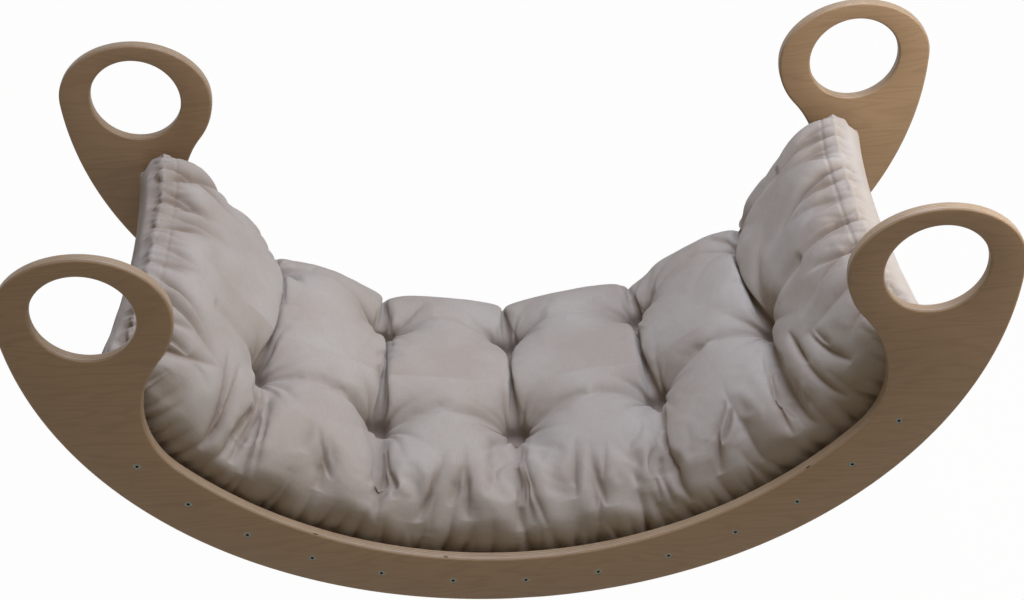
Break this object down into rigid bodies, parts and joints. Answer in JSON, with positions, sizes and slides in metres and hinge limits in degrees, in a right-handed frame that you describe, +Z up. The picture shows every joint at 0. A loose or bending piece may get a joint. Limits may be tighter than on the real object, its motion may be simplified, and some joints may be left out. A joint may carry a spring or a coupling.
{
  "type": "rocking seesaw seat",
  "caption": "Cradle-shaped rocking seat of two plywood rocker sides with ring grips, cross slats and a loose tufted pad.",
  "frame": {"origin": "on the floor under the middle of the rocker, halfway between the two sides", "axes": "+X along the rockers from grip to grip, +Y from the front side to the rear side, +Z up"},
  "size_m": [1.2, 0.5, 0.5997],
  "materials": {
    "birch_plywood": "satin",
    "slat_plywood": "satin",
    "zinc_steel": "satin",
    "beech": "matte",
    "cotton_cover": "matte",
    "tuft_thread": "matte"
  },
  "bodies": {
    "frame": {"front_side_panel": "birch_plywood", "rear_side_panel": "birch_plywood", "slat_01": "slat_plywood", "slat_02": "slat_plywood", "slat_03": "slat_plywood", "slat_04": "slat_plywood", "slat_05": "slat_plywood", "slat_06": "slat_plywood", "slat_07": "slat_plywood", "slat_08": "slat_plywood", "slat_09": "slat_plywood", "slat_10": "slat_plywood", "slat_11": "slat_plywood", "slat_12": "slat_plywood", "slat_13": "slat_plywood", "front_screws": "zinc_steel", "rear_screws": "zinc_steel", "front_dowels": "beech", "rear_dowels": "beech"},
    "cushion": {"seat_pad": "cotton_cover", "tuft_ties": "tuft_thread"}
  },
  "joints": [
    {"name": "pad_lift", "type": "slide", "parent": "frame", "child": "cushion", "axis": [0, 0, 1], "range_m": [0, 0.6]}
  ]
}
